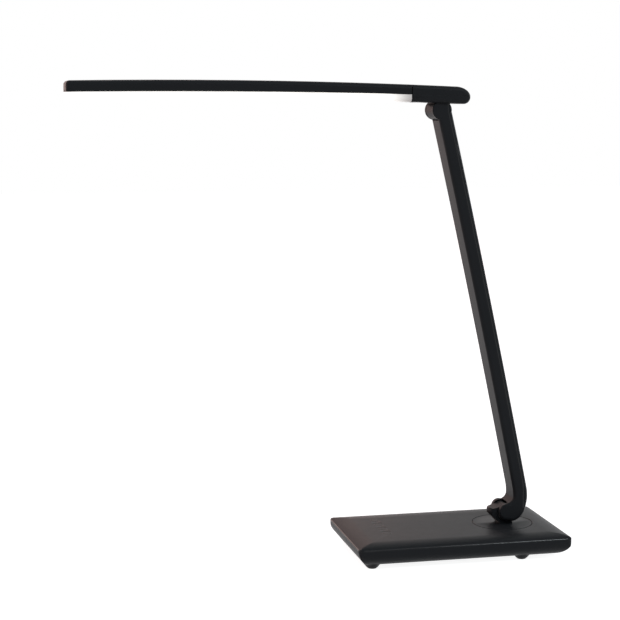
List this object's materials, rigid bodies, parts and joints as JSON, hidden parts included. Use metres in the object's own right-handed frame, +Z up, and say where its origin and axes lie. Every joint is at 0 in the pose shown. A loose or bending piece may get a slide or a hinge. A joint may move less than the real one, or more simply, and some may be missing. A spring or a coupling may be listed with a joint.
{
  "type": "led desk lamp",
  "caption": "LED desk lamp: a long slim light bar on a leaning arm, which tilts and swivels on a rounded rectangular base with touch marks.",
  "frame": {"origin": "centre of the lamp's bounding box in plan, at the level of the desk", "axes": "+X from the light bar's tip towards the base, +Y across the base and away from the user, +Z up from the desk"},
  "size_m": [0.4458, 0.117, 0.4324],
  "materials": {
    "housing": "satin, fine moulded grain",
    "stem": "satin black over die-cast zinc",
    "touch_marks": "smooth, flush with the lid",
    "rubber": "dull",
    "steel": "zinc plated",
    "brass": "turned",
    "boards": "solder mask on glass fibre",
    "black_inner": "moulded",
    "bearing": "natural acetal",
    "lead": "flat insulated lead",
    "opal": "opal, lit from inside",
    "reflector": "white, diffusing",
    "led_strip": "white solder mask on aluminium",
    "chips": "phosphor under clear resin"
  },
  "bodies": {
    "base": {"base_lid": "housing", "base_tub": "housing", "rubber_feet": "rubber", "base_screws": "steel", "ballast_plate": "steel", "driver_board": "boards", "touch_board": "boards", "touch_keys": "touch_marks", "inlet_collar": "housing", "dc_jack": "black_inner", "dc_pin": "brass", "swivel_bush": "bearing", "slide_washer": "bearing"},
    "turntable": {"turntable": "stem", "swivel_spindle": "steel", "swivel_spring": "steel", "swivel_nut": "steel"},
    "arm": {"arm_front_shell": "housing", "arm_rear_cover": "housing", "arm_spine": "steel", "arm_lead": "lead", "lower_hinge_pin": "steel", "lower_hinge_cap": "housing", "lower_hinge_insert": "brass", "lower_hinge_washers": "steel", "upper_hinge_pin": "steel", "upper_hinge_cap": "housing", "upper_hinge_insert": "brass", "upper_hinge_washers": "steel"},
    "hub": {"hub_upper_shell": "housing", "hub_lower_shell": "housing", "hub_bracket": "stem", "hub_screws": "steel", "twist_bush": "bearing"},
    "bar": {"bar_shell": "housing", "diffuser": "opal", "light_guide": "reflector", "led_board": "led_strip", "led_chips": "chips", "twist_spindle": "steel", "twist_nut": "steel"}
  },
  "joints": [
    {"name": "base_swivel", "type": "hinge", "parent": "base", "child": "turntable", "pos_m": [0.17545, 0, 0.0235], "axis": [0, 0, 1], "range_deg": [-45, 45]},
    {"name": "arm_tilt", "type": "hinge", "parent": "turntable", "child": "arm", "pos_m": [0.17545, 0, 0.0367], "axis": [0, 1, 0], "range_deg": [-27, 27]},
    {"name": "head_tilt", "type": "hinge", "parent": "arm", "child": "hub", "pos_m": [0.10895, 0, 0.4064], "axis": [0, 1, 0], "range_deg": [-90, 15]},
    {"name": "head_twist", "type": "hinge", "parent": "hub", "child": "bar", "pos_m": [0.07995, 0, 0.4204], "axis": [1, 0, 0], "range_deg": [-30, 30]}
  ]
}
